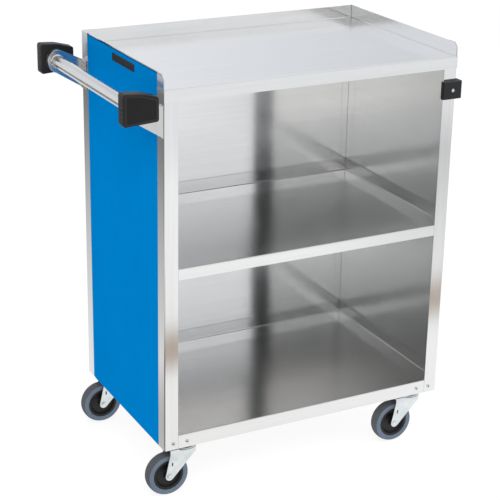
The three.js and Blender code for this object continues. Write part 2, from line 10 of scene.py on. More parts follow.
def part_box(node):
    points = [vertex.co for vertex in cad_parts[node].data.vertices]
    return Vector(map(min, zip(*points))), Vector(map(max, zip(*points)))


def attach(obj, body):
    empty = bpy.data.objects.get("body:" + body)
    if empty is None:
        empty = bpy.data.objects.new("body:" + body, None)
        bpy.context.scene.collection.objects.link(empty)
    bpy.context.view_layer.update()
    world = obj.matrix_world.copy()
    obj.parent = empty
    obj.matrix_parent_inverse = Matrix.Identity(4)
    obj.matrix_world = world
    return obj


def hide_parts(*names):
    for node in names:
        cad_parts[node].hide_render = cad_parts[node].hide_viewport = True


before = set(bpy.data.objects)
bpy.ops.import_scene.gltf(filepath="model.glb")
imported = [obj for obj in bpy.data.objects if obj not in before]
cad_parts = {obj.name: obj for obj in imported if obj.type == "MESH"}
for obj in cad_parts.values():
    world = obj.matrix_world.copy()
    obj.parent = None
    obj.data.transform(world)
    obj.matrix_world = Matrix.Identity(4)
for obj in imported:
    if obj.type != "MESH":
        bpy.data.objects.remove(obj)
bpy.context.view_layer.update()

MM = 0.001
ENDS = {"left": False, "right": True}  # whether it is the right one
SIDES = {"front": False, "rear": True}  # whether it is the rear one
CORNERS = {f"{side}_{end}": (right, rear)
           for side, rear in SIDES.items() for end, right in ENDS.items()}
AXES = {"X": Vector((1, 0, 0)), "Y": Vector((0, 1, 0)), "Z": Vector((0, 0, 1))}

# Sheet metal
GAP = 0.3 * MM  # between pieces that touch
SHELF_SHEET = 1.2 * MM
LEG_SHEET = 2 * MM
LEG_LAP = 8 * MM  # of the front legs' faces behind the top fascia
BEND = 2.2 * MM  # outer radius of a fold
INNER_BEND = 1.4 * MM  # radius on the hollow side of a fold
RIM_HEIGHT = 26.5 * MM
RIM_CORNER = 8.5 * MM  # cut corner at the front of each end rim
CORNER_SEAM = 0.5 * MM  # between the back rim and the end rims
RIM_LEAN = 0.8 * MM  # of the lower shelves' rims away from the panels
CUT_EDGE = 0.2 * MM  # rounding of a sheet's cut edge
PANEL_EDGE = 0.5 * MM  # rounding of the end panels' edges

# Handle
TUBE_WALL = 2 * MM
COLLAR_RISE = 1.6 * MM  # of the weld collar at each end of the tube
COLLAR = [(0.8, 0), (1, 0.4), (0.5, 1.1), (0, 1.5)]  # in that rise: out of the tube, back along it
ARM_BEND, ARM_BEND_STEPS = 2 * MM, 5  # of the arm's folds
ARM_FOOT, ARM_FOLD = 5 * MM, 30 * MM  # how near its foot they lie, and their least length
ARM_EDGE = 0.3 * MM
FLANGE_RIM = 0.8 * MM

# Handle bumpers, measured from the tube's axis
BUMPER_TOP, BUMPER_AHEAD_TOP = 33.5 * MM, 22 * MM
BUMPER_BOTTOM, BUMPER_AHEAD_BOTTOM = 28.5 * MM, 24 * MM
BUMPER_CROWN, CROWN_RADIUS = 3.5 * MM, 70 * MM
BUMPER_RADIUS = 5 * MM
# How far its outline draws in, by the way out from its inner side and by the way back from its
# outer side, in mm
BUMPER_INNER = [(0, 1.4), (0.4, 0.5), (1.2, 0)]
BUMPER_OUTER = [(3.6, 0), (1.6, 0.55), (0.5, 1.7), (0, 3.2), (0, 5.9), (0.25, 6.5), (1.3, 7.7),
                (1.6, 8.4)]
FIELD_ENDS, FIELD_BRINKS = 6.5 * MM, 6 * MM  # of the frame, at the ends and at top and bottom
FIELD_DEPTHS = (0.2 * MM, 2 * MM)
PAD_COUNT = 3
PAD_RISE, PAD_ROOT = 1 * MM, 3 * MM
PAD_RADIUS, PAD_EDGE = 2 * MM, 0.35 * MM
PAD_WIDE, PAD_TALL = 0.275, 0.1  # half of a pad, as a share of the bumper
CORNER_BUMPER_EDGE, CORNER_SCREW_EDGE = 1.2 * MM, 0.4 * MM

# Casters. Profiles are in mm: the radius, and the height or the distance from the middle
BRACKET_EDGE, KINGPIN_EDGE, FORK_EDGE, NUT_EDGE = 0.4 * MM, 0.3 * MM, 0.45 * MM, 0.5 * MM
PLATE_SHEET, PLATE_CORNER, PLATE_EDGE = 2.5 * MM, 6 * MM, 0.3 * MM
RACE = [(6.3, 0), (23.6, 0), (24.8, 0.35), (25.5, 1.2), (25.45, 2.1), (24.7, 2.9), (21.5, 3.9),
        (20, 5.2), (19.2, 7.2), (19, 9.3), (19, 10.2), (6.3, 10.2)]
RACE_FACE = 0.2 * MM  # painted shade: the ring that looks down, dark for the gap above the fork
RACE_NECK, RACE_NECK_REACH = (4 * MM, 9.5 * MM), 22 * MM  # painted shade on the neck above it, for the shadow under the plate
BOLT_HEAD = [(0, 0), (0.45, 0.1), (0.8, 0.5), (1, 1.2), (1, 1.8)]  # share of its radius, and mm
BOLT_SHANK, BOLT_TIP = 4 * MM, 0.6 * MM
TYRE_LIP = 2.8 * MM  # of the tyre's side over the wheel's core
TYRE_FIT = 0.1 * MM  # between the tyre and the core
TYRE_SHOULDER = [(4.2, 0.2), (2.4, 1), (1.3, 3.2), (0.35, 6.5), (0, 11)]  # in from its edges
TREAD = 2.2 * MM
HUB_HOLE, HUB_RADIUS, HUB_EDGE = 4.1 * MM, 8.6 * MM, 0.8 * MM
CORE_DISH = [(9.8, 6.5), (12, 5), (21, 4.5), (23.5, 5.4), (25.5, 7.6), (26.6, 10), (27.5, 11)]
CORE_FACE = 11 * MM

# Screws
FOOT_SCREW_RISE = 13 * MM  # above the legs' lower ends
FOOT_SCREWS = (19 * MM, 49 * MM)  # from the body's end
LEG_FACE = 29 * MM  # the width of a leg's face
COLOUR_RISE = 1.8 * MM  # of the blue sheet beyond it
FLANGE_FACE = 7.4 * MM  # from the body's front or back face to a flange's inner side
FLANGE_SCREW_REACH = 17.3 * MM  # from a flange's middle
FLANGE_SCREW_ANGLES = (49, -29, -107)
FLANGE_TALL = 1.1  # its height for its width
PLATE_SCREW_X, PLATE_SCREW_Y = 8 * MM, 6.5 * MM  # from a swivel plate's edges
FOOT_HEAD, FLANGE_HEAD, PLATE_HEAD = 3.9 * MM, 2.9 * MM, 3.6 * MM  # radii
# The heads' pattern, in their radius
PAN_HEAD = [(0, -0.4), (0.9, -0.4), (1, -0.3), (1, 0.12), (0.93, 0.34), (0.76, 0.5), (0.45, 0.6),
            (0, 0.64)]
CROSS_LONG, CROSS_WIDE, CROSS_FLOOR = 0.62, 0.13, 0.2
CROSS_SIDES = (0.1, 0.56)  # between which a face lies in the cross
CROSS_SLACK_LONG, CROSS_SLACK_WIDE = 0.02, 0.01
SCREW_SEED = 7

# Roundness
FINE_STEPS = 72
ROUND_STEPS = 48
SMALL_STEPS = 24
CORNER_STEPS = 5
BEND_STEPS = 5
SHARP_ANGLE = math.radians(34)  # from which an edge is shaded sharp
EASED_ANGLE = math.radians(30)  # from which an edge is rounded
CUT_ANGLE = math.radians(60)  # from which an edge of a sheet is a cut one
FLAT_ANGLE = math.radians(0.5)  # up to which faces are one
MERGE = 1e-5

# The body's own planes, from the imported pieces
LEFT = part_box("front_left_leg")[0].x
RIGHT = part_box("front_right_leg")[1].x
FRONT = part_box("top_shelf_fascia")[0].y
LEG_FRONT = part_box("front_left_leg")[0].y
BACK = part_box("rear_left_leg")[1].y
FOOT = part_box("front_left_leg")[0].z
RIM_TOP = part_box("top_shelf")[1].z
TUBE_HEIGHT = sum(corner.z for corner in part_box("handle_tube")) / 2


# Shader groups

def new_group(name, inputs, outputs):
    """An empty shader group and its inputs, named with their defaults: a number, or None for a
    vector. Its outputs are numbers."""
    group = bpy.data.node_groups.new(name, "ShaderNodeTree")
    for socket, value in inputs.items():
        kind = "NodeSocketVector" if value is None else "NodeSocketFloat"
        made = group.interface.new_socket(socket, in_out="INPUT", socket_type=kind)
        if value is not None:
            made.default_value = value
    for socket in outputs:
        group.interface.new_socket(socket, in_out="OUTPUT", socket_type="NodeSocketFloat")
    return group, group.nodes.new("NodeGroupInput").outputs


def feed(tree, value, socket):
    """Sets a socket to a value, or links it to another socket."""
    if isinstance(value, bpy.types.NodeSocket):
        tree.links.new(value, socket)
    else:
        socket.default_value = value


def new_node(tree, kind, inputs):
    """A node, its inputs set to values or linked to other sockets."""
    node = tree.nodes.new(kind)
    for socket, value in inputs.items():
        feed(tree, value, node.inputs[socket])
    return node


def noise(tree, vector, scale, detail=2, roughness=0.5):
    inputs = {"Vector": vector, "Scale": scale, "Detail": detail, "Roughness": roughness}
    return new_node(tree, "ShaderNodeTexNoise", inputs).outputs["Fac"]


def math_node(tree, operation, a, b):
    node = new_node(tree, "ShaderNodeMath", {0: a, 1: b})
    node.operation = operation
    return node.outputs[0]


def vector_math(tree, operation, a, b):
    node = new_node(tree, "ShaderNodeVectorMath", {0: a, 1: b})
    node.operation = operation
    return node.outputs


def weighted(tree, a, b, share):
    """The sum of two values, the first by its share and the second by the rest."""
    return math_node(tree, "ADD", math_node(tree, "MULTIPLY", a, share),
                     math_node(tree, "MULTIPLY", b, 1 - share))


def ranged(tree, value, low, high, from_low=0.0, from_high=1.0):
    """Maps a value from one range to another, clamped."""
    inputs = {"Value": value, "From Min": from_low, "From Max": from_high,
              "To Min": low, "To Max": high}
    return new_node(tree, "ShaderNodeMapRange", inputs).outputs["Result"]


def mixed(tree, factor, a, b):
    """A colour between two colours, each a socket or three numbers."""
    node = tree.nodes.new("ShaderNodeMix")
    node.data_type = "RGBA"
    feed(tree, factor, node.inputs["Factor"])
    for value, name in ((a, "A"), (b, "B")):
        socket = [s for s in node.inputs if s.name == name and s.type == "RGBA"][0]
        feed(tree, (*value, 1) if isinstance(value, tuple) else value, socket)
    return [s for s in node.outputs if s.type == "RGBA"][0]


def build_brushing():
    """Fine parallel lines along one direction. Stretch is large across the lines and small along
    them. Lines is the fine grain, Streaks its coarser bands and Height the relief."""
    group, given = new_group(
        "brushed lines", {"Vector": None, "Stretch": None, "Band Share": 0.12},
        ("Lines", "Streaks", "Height"))
    place = vector_math(group, "MULTIPLY", given["Vector"], given["Stretch"])[0]
    lines = noise(group, place, 1.0, detail=2, roughness=0.6)
    streaks = noise(group, place, given["Band Share"], detail=3, roughness=0.6)
    height = math_node(group, "ADD", lines, streaks)
    new_node(group, "NodeGroupOutput", {"Lines": lines, "Streaks": streaks, "Height": height})
    return group


def build_smears():
    """Soft cloudy patches, as handling and polishing leave on a surface."""
    group, given = new_group("handling smears", {"Vector": None, "Scale": 5.0}, ("Smear",))
    broad = noise(group, given["Vector"], given["Scale"], detail=3, roughness=0.55)
    fine = noise(group, given["Vector"], math_node(group, "MULTIPLY", given["Scale"], 7.0))
    smear = ranged(group, weighted(group, broad, fine, 0.7), 0.0, 1.0, 0.32, 0.68)
    new_node(group, "NodeGroupOutput", {"Smear": smear})
    return group


def build_edge_wear():
    """1 along outer edges and 0 on flat faces, broken up by a little noise."""
    group, given = new_group(
        "edge wear", {"Vector": None, "Width": 0.001, "Grit": 300.0}, ("Mask",))
    soft = new_node(group, "ShaderNodeBevel", {"Radius": given["Width"]})
    soft.samples = 4
    flat = group.nodes.new("ShaderNodeNewGeometry").outputs["Normal"]
    bent = vector_math(group, "DOT_PRODUCT", soft.outputs["Normal"], flat)["Value"]
    grit = ranged(group, noise(group, given["Vector"], given["Grit"]), 0.4, 1.0, 0.35, 0.6)
    worn = math_node(group, "MULTIPLY", ranged(group, bent, 1.0, 0.0, 0.8, 0.995), grit)
    new_node(group, "NodeGroupOutput", {"Mask": worn})
    return group


def build_moulded_skin():
    """The fine pebbled skin of moulded rubber and plastic, with a slow unevenness below it."""
    group, given = new_group(
        "moulded skin", {"Vector": None, "Pebbles": 900.0, "Flow": 25.0}, ("Height", "Patch"))
    pebbles = new_node(group, "ShaderNodeTexVoronoi",
                       {"Vector": given["Vector"], "Scale": given["Pebbles"]})
    flow = noise(group, given["Vector"], given["Flow"], detail=3)
    slow = math_node(group, "MULTIPLY", flow, 2.0)
    height = math_node(group, "ADD", pebbles.outputs["Distance"], slow)
    patch = ranged(group, flow, 0.0, 1.0, 0.3, 0.7)
    new_node(group, "NodeGroupOutput", {"Height": height, "Patch": patch})
    return group


BRUSHING = build_brushing()
SMEARS = build_smears()
EDGE_WEAR = build_edge_wear()
MOULDED_SKIN = build_moulded_skin()


# Materials

ACROSS, ALONG = 1100, 22  # noise cells in a metre across the brushed lines and along them
GRAIN_MAP = "grain"
GRAIN = {}  # the direction of the brushed lines for each steel's name
RUBBED_STEEL, RUBBED_ZINC = (0.86, 0.87, 0.88), (0.92, 0.94, 0.94)


def new_material(name, **constants):
    """A material, its node tree, its one Principled shader and its Object coordinates. The
    constants are set on the shader's own sockets."""
    material = bpy.data.materials.new(name)
    material.use_nodes = True
    tree = material.node_tree
    shader = tree.nodes["Principled BSDF"]
    for socket, value in constants.items():
        shader.inputs[socket.replace("_", " ").title().replace("Ior", "IOR")].default_value = value
    return material, tree, shader, tree.nodes.new("ShaderNodeTexCoord").outputs["Object"]


def placed(tree, group, vector, **values):
    """A shader group in a material, with its own values; returns its outputs."""
    node = tree.nodes.new("ShaderNodeGroup")
    node.node_tree = group
    tree.links.new(vector, node.inputs["Vector"])
    for socket, value in values.items():
        node.inputs[socket.replace("_", " ")].default_value = value
    return node.outputs


def finished(tree, shader, colour, roughness, height, relief):
    """Gives a shader its colour, its roughness and the fine relief of a height."""
    bump = new_node(tree, "ShaderNodeBump", {"Height": height, "Distance": relief})
    tree.links.new(colour, shader.inputs["Base Color"])
    tree.links.new(roughness, shader.inputs["Roughness"])
    tree.links.new(bump.outputs["Normal"], shader.inputs["Normal"])


def brushed_steel(name, grain_axis, dark, light, roughness, spread=0.0):
    """Brushed stainless steel with its lines along one axis. Spread is how much wider it blurs
    reflections across the lines, along the first direction of its map."""
    material, tree, shader, place = new_material(name, metallic=1.0, anisotropic=spread)
    if spread:
        across = tree.nodes.new("ShaderNodeTangent")
        across.direction_type = "UV_MAP"
        across.uv_map = GRAIN_MAP
        tree.links.new(across.outputs["Tangent"], shader.inputs["Tangent"])
    GRAIN[name] = AXES[grain_axis]
    stretch = [ALONG if axis == grain_axis else ACROSS for axis in AXES]
    grain = placed(tree, BRUSHING, place, Stretch=stretch)
    smear = placed(tree, SMEARS, place, Scale=5.0)["Smear"]
    edge = placed(tree, EDGE_WEAR, place, Width=0.0008)["Mask"]
    tone = weighted(tree, grain["Streaks"], grain["Lines"], 0.6)
    colour = mixed(tree, ranged(tree, tone, 0.0, 1.0, 0.3, 0.7), dark, light)
    rough = ranged(tree, smear, roughness - 0.015, roughness + 0.015)
    rough = math_node(tree, "ADD", rough, math_node(tree, "MULTIPLY", grain["Lines"], 0.03))
    finished(tree, shader, mixed(tree, edge, colour, RUBBED_STEEL), rough, grain["Height"], 4e-6)
    return material


def laminate(name, colour):
    """A coloured satin sheet with a fine print and slight handling marks."""
    material, tree, shader, place = new_material(name, specular_ior_level=0.0)
    skin = placed(tree, MOULDED_SKIN, place, Pebbles=1400.0, Flow=9.0)
    smear = placed(tree, SMEARS, place, Scale=7.0)["Smear"]
    colour = mixed(tree, smear, colour, tuple(c * 0.94 for c in colour))
    finished(tree, shader, colour, ranged(tree, smear, 0.42, 0.52), skin["Height"], 4e-6)
    return material


def moulding(name, colour, worn, roughness, pebbles=900.0, relief=3e-5, shine=0.3):
    """Moulded rubber or plastic, paler where its edges are rubbed."""
    material, tree, shader, place = new_material(name, specular_ior_level=shine)
    skin = placed(tree, MOULDED_SKIN, place, Pebbles=pebbles)
    edge = placed(tree, EDGE_WEAR, place, Width=0.0016)["Mask"]
    colour = mixed(tree, skin["Patch"], colour, tuple(c * 1.25 for c in colour))
    rough = ranged(tree, skin["Patch"], roughness - 0.05, roughness + 0.06)
    finished(tree, shader, mixed(tree, edge, colour, worn), rough, skin["Height"], relief)
    return material


def zinc_plating(name, dark, light):
    """Bright plated steel with a faint bluish bloom."""
    material, tree, shader, place = new_material(name, metallic=1.0)
    smear = placed(tree, SMEARS, place, Scale=60.0)["Smear"]
    skin = placed(tree, MOULDED_SKIN, place, Pebbles=1500.0, Flow=60.0)
    edge = placed(tree, EDGE_WEAR, place, Width=0.0006)["Mask"]
    colour = mixed(tree, edge, mixed(tree, smear, dark, light), RUBBED_ZINC)
    finished(tree, shader, colour, ranged(tree, smear, 0.26, 0.4), skin["Height"], 5e-6)
    return material


SHEET_TONES = (0.765, 0.77, 0.775), (0.82, 0.825, 0.83)
STEEL_X = brushed_steel("stainless brushed lengthways", "X", *SHEET_TONES, 0.115, spread=0.7)
STEEL_Y = brushed_steel("stainless brushed across", "Y", *SHEET_TONES, 0.115, spread=0.7)
STEEL_Z = brushed_steel("stainless brushed upright", "Z", *SHEET_TONES, 0.13, spread=0.7)
TUBE_STEEL = brushed_steel("polished tube steel", "Y", (0.6, 0.6, 0.6), (0.68, 0.68, 0.68), 0.2)
FLANGE_STEEL = brushed_steel("flange steel", "Z", (0.56, 0.56, 0.56), (0.64, 0.64, 0.63), 0.26)
BLUE_SHEET = laminate("blue laminate", (0.0, 0.208, 0.574))
PLATE_BLACK = moulding("nameplate black", (0.004, 0.004, 0.005), (0.06, 0.06, 0.06), 0.3,
                       pebbles=1600.0, relief=2e-6, shine=0.12)
BUMPER_RUBBER = moulding("bumper rubber", (0.013, 0.0132, 0.0145), (0.09, 0.094, 0.1), 0.45,
                         shine=0.25)
BUMPER_FIELD = moulding("bumper field", (0.011, 0.011, 0.012), (0.018, 0.018, 0.019), 0.5,
                        shine=0.14)
CORE_NYLON = moulding("wheel core nylon", (0.008, 0.007, 0.008), (0.03, 0.03, 0.032), 0.36,
                      pebbles=1200.0, relief=1e-5)
TYRE_GREY = moulding("tyre rubber", (0.105, 0.14, 0.19), (0.17, 0.2, 0.25), 0.6, pebbles=700.0)
TREAD_GREY = moulding("tread rubber", (0.075, 0.077, 0.085), (0.12, 0.12, 0.13), 0.75,
                      pebbles=500.0)
ZINC = zinc_plating("bright zinc", (0.6, 0.65, 0.67), (0.8, 0.84, 0.85))
# Painted shade: a dark finish laid on the screws' sunk crosses and on the race's downward ring and
# neck, where shade falls; no such coloured part exists
PAINTED_SHADE = moulding("painted shade", (0.03, 0.03, 0.03), (0.06, 0.06, 0.06), 0.6,
                       pebbles=1500.0)


# Outlines

def rounded(points):
    """The closed outline through points (u, v, radius), with an arc at each corner."""
    corners = [(Vector(point[:2]), point[2]) for point in points]
    path = []
    for i, (corner, radius) in enumerate(corners):
        before = corners[i - 1][0] - corner
        after = corners[(i + 1) % len(corners)][0] - corner
        half = before.angle(after) / 2
        reach = min(radius / math.tan(half), before.length / 2, after.length / 2)
        towards = (before.normalized() + after.normalized()).normalized()
        centre = corner + towards * reach / math.cos(half)
        start = corner + before.normalized() * reach - centre
        end = corner + after.normalized() * reach - centre
        sweep = math.copysign(math.pi - 2 * half, start.cross(end))
        for k in range(CORNER_STEPS + 1):
            path.append(tuple(centre + Matrix.Rotation(sweep * k / CORNER_STEPS, 2) @ start))
    return path


def rounded_rectangle(low_u, low_v, high_u, high_v, radius):
    corners = ((low_u, low_v), (high_u, low_v), (high_u, high_v), (low_u, high_v))
    return rounded([(u, v, radius) for u, v in corners])


def arc(centre, radius, start, end, steps=BEND_STEPS):
    """Points (u, v) on an arc between two angles in degrees."""
    angles = [math.radians(start + (end - start) * k / steps) for k in range(steps + 1)]
    return [(centre[0] + radius * math.cos(a), centre[1] + radius * math.sin(a)) for a in angles]


def both_ways(half):
    """A profile of radius and height from its upper half."""
    return [(radius, -height) for radius, height in half] + half[::-1]


def in_mm(profile):
    return [(a * MM, b * MM) for a, b in profile]


def lifted(axis):
    """The map from an outline's (u, v) and its depth to a point, for a depth along one axis."""
    return {
        "X": lambda u, v, depth: (depth, u, v),
        "Y": lambda u, v, depth: (u, depth, v),
        "Z": lambda u, v, depth: (u, v, depth),
    }[axis]


# Mesh building

def polygon(bm, points):
    bm.faces.new([bm.verts.new(p) for p in points])


def ruled(bm, line, shift):
    """Faces between an open line of points and its copy, moved by the shift."""
    shift = Vector(shift)
    for a, b in zip(line, line[1:]):
        a, b = Vector(a), Vector(b)
        polygon(bm, [a, b, b + shift, a + shift])


def prism(bm, path, axis, low, high):
    """A closed outline given a depth from low to high along one axis."""
    to = lifted(axis)
    bottom = [bm.verts.new(to(u, v, low)) for u, v in path]
    top = [bm.verts.new(to(u, v, high)) for u, v in path]
    bm.faces.new(bottom)
    bm.faces.new(top[::-1])
    for i, start in enumerate(bottom):
        following = (i + 1) % len(top)
        bm.faces.new([start, top[i], top[following], bottom[following]])


def turned(bm, profile, centre, axis, steps):
    """A round body from a profile of radius and height along the axis. A profile that does not
    start on the axis closes on itself."""
    to = lifted(axis)
    angles = [2 * math.pi * k / steps for k in range(steps)]
    rings = []
    for radius, height in profile:
        count = angles if radius > MERGE else angles[:1]
        place = [to(radius * math.cos(t), radius * math.sin(t), height) for t in count]
        rings.append([bm.verts.new(Vector(p) + Vector(centre)) for p in place])
    pairs = list(zip(rings, rings[1:]))
    if profile[0][0] > MERGE:
        pairs.append((rings[-1], rings[0]))
    for a, b in pairs:
        for k in range(steps):
            n = (k + 1) % steps
            corners = [a[k % len(a)], a[n % len(a)], b[n % len(b)], b[k % len(b)]]
            corners = [v for i, v in enumerate(corners) if v not in corners[:i]]
            if len(corners) > 2:
                bm.faces.new(corners)


def eased(bm, width, segments=2, chosen=None):
    """Bevels the sharp edges, or those of them that are chosen."""
    bmesh.ops.recalc_face_normals(bm, faces=bm.faces)
    bm.normal_update()
    sharp = [edge for edge in bm.edges if edge.calc_face_angle(0) > EASED_ANGLE]
    bmesh.ops.bevel(
        bm, geom=[edge for edge in sharp if chosen is None or chosen(edge)], offset=width,
        offset_type="OFFSET", segments=segments, profile=0.5, affect="EDGES", clamp_overlap=True,
    )


def merged(bm, other):
    """Adds another mesh's bodies to this one."""
    spare = bpy.data.meshes.new("spare")
    other.to_mesh(spare)
    other.free()
    bm.from_mesh(spare)
    bpy.data.meshes.remove(spare)


def copied(node):
    """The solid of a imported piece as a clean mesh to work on."""
    bm = bmesh.new()
    bm.from_mesh(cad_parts[node].data)
    bmesh.ops.remove_doubles(bm, verts=bm.verts, dist=MERGE)
    bmesh.ops.dissolve_limit(bm, angle_limit=FLAT_ANGLE, verts=bm.verts, edges=bm.edges)
    return bm


def measured(node):
    """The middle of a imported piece's box, and half of its size."""
    low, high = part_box(node)
    return (low + high) / 2, (high - low) / 2


# Objects

def in_scene(name, data):
    thing = bpy.data.objects.new(name, data)
    bpy.context.scene.collection.objects.link(thing)
    return thing


def meshed(name, bm, *materials):
    """An object of a mesh."""
    mesh = bpy.data.meshes.new(name)
    bm.to_mesh(mesh)
    bm.free()
    for material in materials:
        mesh.materials.append(material)
    return in_scene(name, mesh)


def made(name, bm, *materials):
    """An object of a mesh with its faces turned outwards."""
    bmesh.ops.recalc_face_normals(bm, faces=bm.faces)
    return meshed(name, bm, *materials)


def lathed(name, profile, centre, steps, *materials):
    """An object turned about the Y axis through its centre."""
    bm = bmesh.new()
    turned(bm, profile, centre, "Y", steps)
    return made(name, bm, *materials)


def applied(thing):
    """Turns an object and its modifiers into a plain mesh."""
    bpy.context.view_layer.update()
    evaluated = thing.evaluated_get(bpy.context.evaluated_depsgraph_get())
    thing.data = bpy.data.meshes.new_from_object(evaluated)
    thing.modifiers.clear()
    return thing


def mapped_across_grain(mesh):
    """Maps each brushed face with its first direction across the brushed lines."""
    axes = [GRAIN.get(material.name) for material in mesh.materials]
    if not any(axes):
        return
    grain_map = mesh.uv_layers.new(name=GRAIN_MAP)
    for face in mesh.polygons:
        grain = axes[face.material_index] or AXES["Z"]
        across = grain.cross(face.normal)
        if across.length < 0.1:
            across = face.normal.orthogonal()
        along = face.normal.cross(across)
        for loop in face.loop_indices:
            place = mesh.vertices[mesh.loops[loop].vertex_index].co
            grain_map.data[loop].uv = (place.dot(across), place.dot(along))


def settled(thing, slot, *nodes, body="cart"):
    """Shades an object smooth up to its sharp edges, with its large faces kept flat, ties it to its
    body and hides the solids it stands for."""
    mapped_across_grain(thing.data)
    thing.data.polygons.foreach_set("use_smooth", [True] * len(thing.data.polygons))
    thing.data.set_sharp_from_angle(angle=SHARP_ANGLE)
    flat = thing.modifiers.new("flat faces", "WEIGHTED_NORMAL")
    flat.keep_sharp = True
    flat.weight = 100
    applied(thing)
    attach(thing, body)
    if nodes:
        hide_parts(*nodes)


def cut(thing, tool):
    """Takes the tool's volume out of the thing, and removes the tool."""
    modifier = thing.modifiers.new("cut", "BOOLEAN")
    modifier.operation = "DIFFERENCE"
    modifier.object = tool
    modifier.solver = "EXACT"
    applied(thing)
    bpy.data.objects.remove(tool)


def sheet_metal(name, bm, facing, thickness, *materials):
    """Gives a folded surface its thickness behind the face that it shows. The first face looks
    along facing."""
    bm.faces.ensure_lookup_table()
    first = bm.faces[0].calc_center_median()
    bmesh.ops.remove_doubles(bm, verts=bm.verts, dist=MERGE)
    bmesh.ops.recalc_face_normals(bm, faces=bm.faces)
    bm.normal_update()
    shown = min(bm.faces, key=lambda f: (f.calc_center_median() - first).length)
    if shown.normal.dot(Vector(facing)) < 0:
        bmesh.ops.reverse_faces(bm, faces=bm.faces)
    thing = meshed(name, bm, *materials)
    solid = thing.modifiers.new("thickness", "SOLIDIFY")
    solid.thickness = thickness
    solid.offset = -1
    solid.use_even_offset = True
    ease = thing.modifiers.new("cut edges", "BEVEL")
    ease.width = CUT_EDGE
    ease.segments = 2
    ease.limit_method = "ANGLE"
    ease.angle_limit = CUT_ANGLE
    return applied(thing)


def eased_copy(node, slot, material, width=CUT_EDGE, body="cart", segments=2):
    """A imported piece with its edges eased."""
    bm = copied(node)
    eased(bm, width, segments)
    settled(made(node + "_finished", bm, material), slot, node, body=body)


# Shelves, legs and panels

def folded_shelf(name):
    """A shelf folded from one sheet: a fascia turned down in front, and rims turned up at both ends
    and the back. The end rims have a cut front corner and meet the back rim in open seams."""
    is_top = name == "top_shelf"
    strips = [name, name + "_fascia", name + "_back_rim"] if is_top else [name]
    boxes = [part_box(strip) for strip in strips]
    low = Vector([min(box[0][axis] for box in boxes) for axis in range(3)])
    high = Vector([max(box[1][axis] for box in boxes) for axis in range(3)])
    surface, top, r = high.z - RIM_HEIGHT, high.z, INNER_BEND
    fold_top = surface + r
    if is_top:
        fascia_left, fascia_right, front = low.x, high.x, low.y + BEND
    else:
        fascia_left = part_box("front_left_leg")[1].x + GAP
        fascia_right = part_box("front_right_leg")[0].x - GAP
        front = LEG_FRONT + LEG_SHEET + GAP
    bend, lean = front - low.y, 0 if is_top else RIM_LEAN
    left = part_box("middle_shelf")[0].x + SHELF_SHEET
    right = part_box("middle_shelf")[1].x - SHELF_SHEET
    back = high.y - SHELF_SHEET
    flat_left, flat_right, flat_back = left + r, right - r, back - r
    seam_left, seam_right = left + CORNER_SEAM, right - CORNER_SEAM

    bm = bmesh.new()
    inside = [x for x in (fascia_left, fascia_right) if flat_left < x < flat_right]
    outline = [(x, front) for x in (flat_left, *inside, flat_right)]
    outline += [(flat_right, flat_back), (flat_left, flat_back)]
    polygon(bm, [(x, y, surface) for x, y in outline])

    ends = [x for x in (flat_left, flat_right) if fascia_left < x < fascia_right]
    stops = sorted({fascia_left, fascia_right, *ends})
    fold = arc((front, surface - bend), bend, 90, 180) + [(low.y, low.z)]
    for a, b in zip(stops, stops[1:]):
        ruled(bm, [(a, y, z) for y, z in fold], (b - a, 0, 0))

    fold = arc((flat_back, fold_top), r, -90, 0)
    ruled(bm, [(flat_left, y, z) for y, z in fold], (flat_right - flat_left, 0, 0))
    leaning = back - lean / 2
    polygon(bm, [
        (flat_left, back, fold_top), (seam_left, back, fold_top),
        (seam_left + lean, leaning, top), (seam_right - lean, leaning, top),
        (seam_right, back, fold_top), (flat_right, back, fold_top),
    ])

    rim = [(front, fold_top), (front, top - RIM_CORNER), (front + RIM_CORNER, top), (back, top),
           (back, fold_top), (flat_back, fold_top)]
    for side, x in ((-1, flat_left), (1, flat_right)):
        fold = [(x + side * (u - x), z) for u, z in arc((x, fold_top), r, -90, 0)]
        ruled(bm, [(u, front, z) for u, z in fold], (0, flat_back - front, 0))
        end, slope = fold[-1][0], side * lean / (top - fold_top)
        polygon(bm, [(end - slope * (z - fold_top), y, z) for y, z in rim])

    thing = sheet_metal(name + "_sheet", bm, (0, 0, 1), SHELF_SHEET, STEEL_X, STEEL_Y)
    for face in thing.data.polygons:
        face.material_index = 1 if abs(face.normal.x) > 0.7 else 0
    settled(thing, "stainless", *strips)


def folded_leg(name, right, rear):
    """An angle leg with a rounded fold, its side rising along the end rim."""
    def place(x, y, z):
        """Moves a point drawn for the front left corner to this one."""
        return (RIGHT - x if right else LEFT + x, BACK - y if rear else FRONT + y, z)

    low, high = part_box(name + "_leg")
    inset = 0 if rear else low.y - FRONT
    face_width, side_width = high.x - low.x, (high.y - low.y) + inset
    face_top = RIM_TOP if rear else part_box("top_shelf_fascia")[0].z + LEG_LAP
    bm = bmesh.new()
    side = [(inset + BEND, FOOT), (inset + BEND, face_top)]
    if not rear:
        side += [(inset, face_top), (inset, RIM_TOP - RIM_CORNER), (inset + RIM_CORNER, RIM_TOP)]
    side += [(side_width, RIM_TOP), (side_width, FOOT)]
    polygon(bm, [place(0, y, z) for y, z in side])
    fold = arc((BEND, inset + BEND), BEND, 180, 270)
    for a, b in zip(fold, fold[1:]):
        polygon(bm, [place(*a, FOOT), place(*b, FOOT), place(*b, face_top), place(*a, face_top)])
    face = ((BEND, FOOT), (face_width, FOOT), (face_width, face_top), (BEND, face_top))
    polygon(bm, [place(x, inset, z) for x, z in face])
    outwards = (1 if right else -1, 0, 0)
    thing = sheet_metal(name + "_angle_leg", bm, outwards, LEG_SHEET, STEEL_Z)
    settled(thing, "stainless", name + "_leg")


